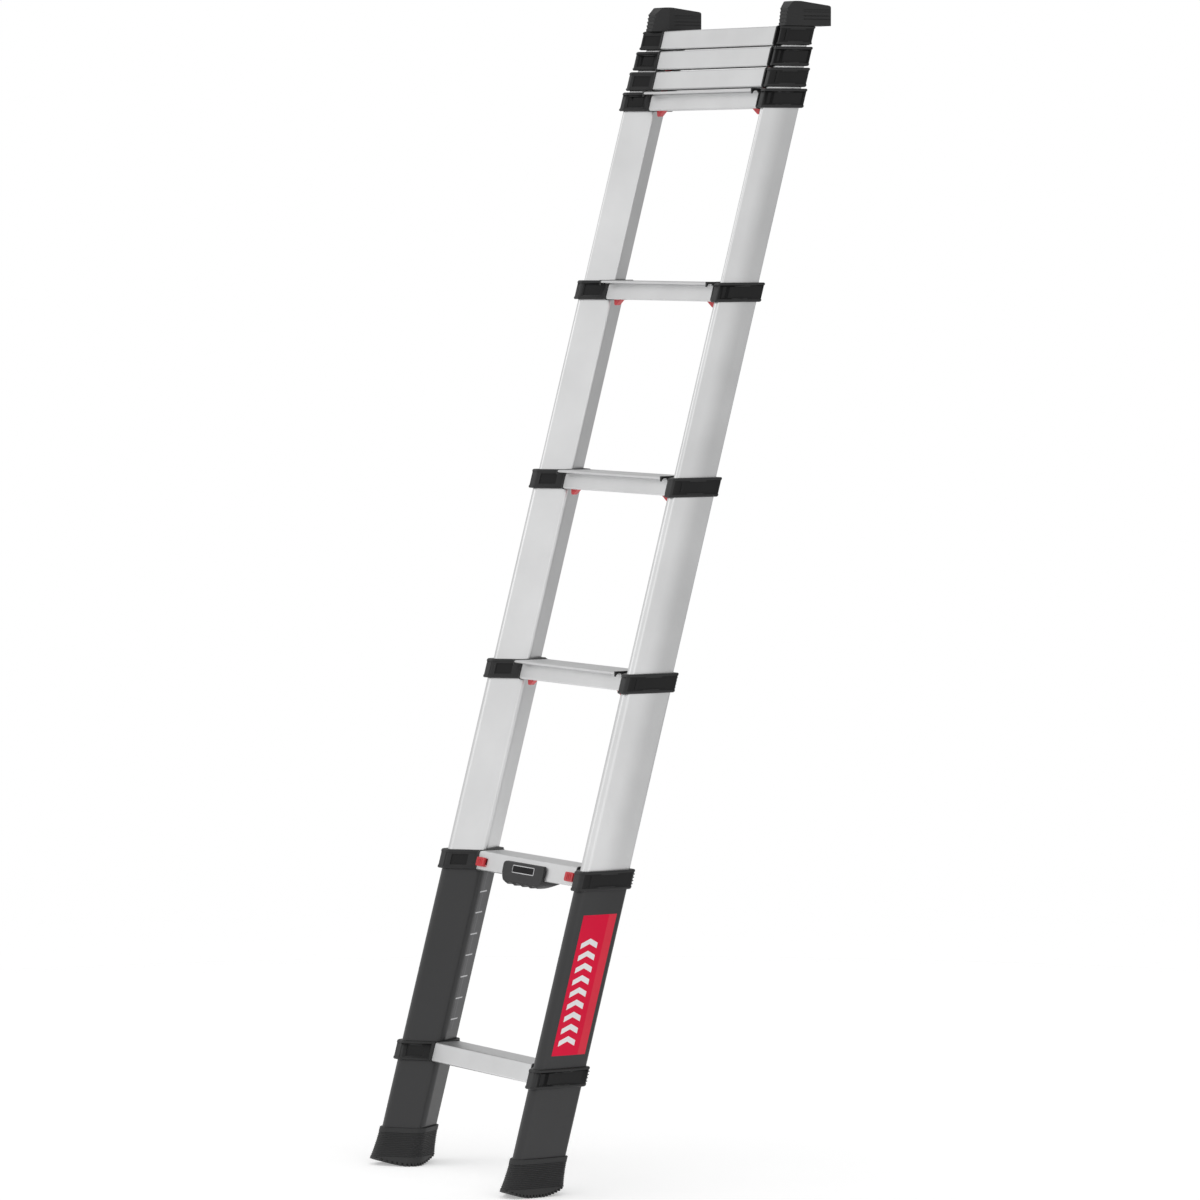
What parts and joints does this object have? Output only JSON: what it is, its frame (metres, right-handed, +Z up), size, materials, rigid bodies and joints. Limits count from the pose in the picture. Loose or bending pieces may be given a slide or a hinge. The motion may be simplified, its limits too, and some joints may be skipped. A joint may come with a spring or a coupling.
{
  "type": "telescoping ladder",
  "caption": "Leaning telescoping ladder, part extended: nested triangular rails, collared rungs with lock triggers, red release buttons, carry handle, rubber feet and wall pads.",
  "frame": {"origin": "on the floor, in the middle of the box that holds the leaning ladder", "axes": "+X across the ladder to the climber's right, -Y towards the climber, +Z up; the rails lean 15 degrees back towards +Y"},
  "size_m": [0.452, 0.5685, 1.7681],
  "materials": {
    "black_anodised": "black anodised, satin",
    "rail_aluminium": "clear anodised, fine drawn grain",
    "rung_aluminium": "clear anodised, satin",
    "tread_aluminium": "ribbed extrusion, satin",
    "collar_plastic": "glass-filled nylon, fine texture",
    "trigger_plastic": "moulded red plastic",
    "bolt_steel": "turned steel",
    "button_plastic": "moulded red plastic",
    "handle_plastic": "moulded, fine texture",
    "foot_rubber": "ribbed rubber",
    "pad_rubber": "moulded rubber"
  },
  "bodies": {
    "root": {"left_stile_1": "black_anodised", "right_stile_1": "black_anodised", "rung_1": "rung_aluminium", "rung_2": "rung_aluminium", "collars_1": "collar_plastic", "collars_2": "collar_plastic", "carry_handle": "handle_plastic", "left_foot": "foot_rubber", "right_foot": "foot_rubber"},
    "left_button": {"left_release_button": "button_plastic"},
    "right_button": {"right_release_button": "button_plastic"},
    "section_2": {"left_stile_2": "rail_aluminium", "right_stile_2": "rail_aluminium", "rung_3": "rung_aluminium", "collars_3": "collar_plastic", "tread_3": "tread_aluminium"},
    "section_3": {"left_stile_3": "rail_aluminium", "right_stile_3": "rail_aluminium", "rung_4": "rung_aluminium", "collars_4": "collar_plastic", "tread_4": "tread_aluminium"},
    "section_4": {"left_stile_4": "rail_aluminium", "right_stile_4": "rail_aluminium", "rung_5": "rung_aluminium", "collars_5": "collar_plastic", "tread_5": "tread_aluminium"},
    "section_5": {"left_stile_5": "rail_aluminium", "right_stile_5": "rail_aluminium", "rung_6": "rung_aluminium", "collars_6": "collar_plastic", "tread_6": "tread_aluminium"},
    "section_6": {"stiles_6": "rail_aluminium", "rung_7": "rung_aluminium", "collars_7": "collar_plastic"},
    "section_7": {"stiles_7": "rail_aluminium", "rung_8": "rung_aluminium", "collars_8": "collar_plastic"},
    "section_8": {"stiles_8": "rail_aluminium", "rung_9": "rung_aluminium", "collars_9": "collar_plastic", "left_wall_pad": "pad_rubber", "right_wall_pad": "pad_rubber"},
    "triggers_3": {"lock_triggers_3": "trigger_plastic"},
    "left_bolt_3": {"left_lock_bolt_3": "bolt_steel"},
    "right_bolt_3": {"right_lock_bolt_3": "bolt_steel"},
    "triggers_4": {"lock_triggers_4": "trigger_plastic"},
    "left_bolt_4": {"left_lock_bolt_4": "bolt_steel"},
    "right_bolt_4": {"right_lock_bolt_4": "bolt_steel"},
    "triggers_5": {"lock_triggers_5": "trigger_plastic"},
    "left_bolt_5": {"left_lock_bolt_5": "bolt_steel"},
    "right_bolt_5": {"right_lock_bolt_5": "bolt_steel"},
    "triggers_6": {"lock_triggers_6": "trigger_plastic"},
    "left_bolt_6": {"left_lock_bolt_6": "bolt_steel"},
    "right_bolt_6": {"right_lock_bolt_6": "bolt_steel"},
    "triggers_7": {"lock_triggers_7": "trigger_plastic"},
    "left_bolt_7": {"left_lock_bolt_7": "bolt_steel"},
    "right_bolt_7": {"right_lock_bolt_7": "bolt_steel"},
    "triggers_8": {"lock_triggers_8": "trigger_plastic"},
    "left_bolt_8": {"left_lock_bolt_8": "bolt_steel"},
    "right_bolt_8": {"right_lock_bolt_8": "bolt_steel"}
  },
  "joints": [
    {"name": "left_button_slide", "type": "slide", "parent": "root", "child": "left_button", "axis": [1, 0, 0], "range_m": [0, 0.009], "stiffness_N_per_m": 300},
    {"name": "right_button_slide", "type": "slide", "parent": "root", "child": "right_button", "axis": [-1, 0, 0], "range_m": [0, 0.009], "stiffness_N_per_m": 300},
    {"name": "section_2_slide", "type": "slide", "parent": "root", "child": "section_2", "axis": [0, 0.2588, 0.9659], "range_m": [-0.2675, 0]},
    {"name": "section_3_slide", "type": "slide", "parent": "section_2", "child": "section_3", "axis": [0, 0.2588, 0.9659], "range_m": [-0.2675, 0]},
    {"name": "section_4_slide", "type": "slide", "parent": "section_3", "child": "section_4", "axis": [0, 0.2588, 0.9659], "range_m": [-0.2675, 0]},
    {"name": "section_5_slide", "type": "slide", "parent": "section_4", "child": "section_5", "axis": [0, 0.2588, 0.9659], "range_m": [-0.2675, 0]},
    {"name": "section_6_slide", "type": "slide", "parent": "section_5", "child": "section_6", "axis": [0, 0.2588, 0.9659], "range_m": [0, 0.2675]},
    {"name": "section_7_slide", "type": "slide", "parent": "section_6", "child": "section_7", "axis": [0, 0.2588, 0.9659], "range_m": [0, 0.2675]},
    {"name": "section_8_slide", "type": "slide", "parent": "section_7", "child": "section_8", "axis": [0, 0.2588, 0.9659], "range_m": [0, 0.2675]},
    {"name": "triggers_3_slide", "type": "slide", "parent": "section_2", "child": "triggers_3", "axis": [0, 0, 1], "range_m": [0, 0.007]},
    {"name": "left_bolt_3_slide", "type": "slide", "parent": "section_2", "child": "left_bolt_3", "axis": [1, 0, 0], "range_m": [0, 0.004]},
    {"name": "right_bolt_3_slide", "type": "slide", "parent": "section_2", "child": "right_bolt_3", "axis": [-1, 0, 0], "range_m": [0, 0.004]},
    {"name": "triggers_4_slide", "type": "slide", "parent": "section_3", "child": "triggers_4", "axis": [0, 0, 1], "range_m": [0, 0.007]},
    {"name": "left_bolt_4_slide", "type": "slide", "parent": "section_3", "child": "left_bolt_4", "axis": [1, 0, 0], "range_m": [0, 0.004]},
    {"name": "right_bolt_4_slide", "type": "slide", "parent": "section_3", "child": "right_bolt_4", "axis": [-1, 0, 0], "range_m": [0, 0.004]},
    {"name": "triggers_5_slide", "type": "slide", "parent": "section_4", "child": "triggers_5", "axis": [0, 0, 1], "range_m": [0, 0.007]},
    {"name": "left_bolt_5_slide", "type": "slide", "parent": "section_4", "child": "left_bolt_5", "axis": [1, 0, 0], "range_m": [0, 0.004]},
    {"name": "right_bolt_5_slide", "type": "slide", "parent": "section_4", "child": "right_bolt_5", "axis": [-1, 0, 0], "range_m": [0, 0.004]},
    {"name": "triggers_6_slide", "type": "slide", "parent": "section_5", "child": "triggers_6", "axis": [0, 0, 1], "range_m": [0, 0.007]},
    {"name": "left_bolt_6_slide", "type": "slide", "parent": "section_5", "child": "left_bolt_6", "axis": [1, 0, 0], "range_m": [0, 0.004]},
    {"name": "right_bolt_6_slide", "type": "slide", "parent": "section_5", "child": "right_bolt_6", "axis": [-1, 0, 0], "range_m": [0, 0.004]},
    {"name": "triggers_7_slide", "type": "slide", "parent": "section_6", "child": "triggers_7", "axis": [0, 0, 1], "range_m": [-0.007, 0]},
    {"name": "left_bolt_7_slide", "type": "slide", "parent": "section_6", "child": "left_bolt_7", "axis": [1, 0, 0], "range_m": [-0.004, 0]},
    {"name": "right_bolt_7_slide", "type": "slide", "parent": "section_6", "child": "right_bolt_7", "axis": [-1, 0, 0], "range_m": [-0.004, 0]},
    {"name": "triggers_8_slide", "type": "slide", "parent": "section_7", "child": "triggers_8", "axis": [0, 0, 1], "range_m": [-0.007, 0]},
    {"name": "left_bolt_8_slide", "type": "slide", "parent": "section_7", "child": "left_bolt_8", "axis": [1, 0, 0], "range_m": [-0.004, 0]},
    {"name": "right_bolt_8_slide", "type": "slide", "parent": "section_7", "child": "right_bolt_8", "axis": [-1, 0, 0], "range_m": [-0.004, 0]}
  ],
  "couplings": [
    {"joint": "triggers_3_slide", "follows": "section_2_slide", "ratio": -0.026093},
    {"joint": "left_bolt_3_slide", "follows": "section_2_slide", "ratio": -0.014916},
    {"joint": "right_bolt_3_slide", "follows": "section_2_slide", "ratio": -0.014916},
    {"joint": "triggers_4_slide", "follows": "section_3_slide", "ratio": -0.026093},
    {"joint": "left_bolt_4_slide", "follows": "section_3_slide", "ratio": -0.014916},
    {"joint": "right_bolt_4_slide", "follows": "section_3_slide", "ratio": -0.014916},
    {"joint": "triggers_5_slide", "follows": "section_4_slide", "ratio": -0.026093},
    {"joint": "left_bolt_5_slide", "follows": "section_4_slide", "ratio": -0.014916},
    {"joint": "right_bolt_5_slide", "follows": "section_4_slide", "ratio": -0.014916},
    {"joint": "triggers_6_slide", "follows": "section_5_slide", "ratio": -0.026093},
    {"joint": "left_bolt_6_slide", "follows": "section_5_slide", "ratio": -0.014916},
    {"joint": "right_bolt_6_slide", "follows": "section_5_slide", "ratio": -0.014916},
    {"joint": "triggers_7_slide", "follows": "section_6_slide", "ratio": -0.026093},
    {"joint": "left_bolt_7_slide", "follows": "section_6_slide", "ratio": -0.014916},
    {"joint": "right_bolt_7_slide", "follows": "section_6_slide", "ratio": -0.014916},
    {"joint": "triggers_8_slide", "follows": "section_7_slide", "ratio": -0.026093},
    {"joint": "left_bolt_8_slide", "follows": "section_7_slide", "ratio": -0.014916},
    {"joint": "right_bolt_8_slide", "follows": "section_7_slide", "ratio": -0.014916}
  ]
}
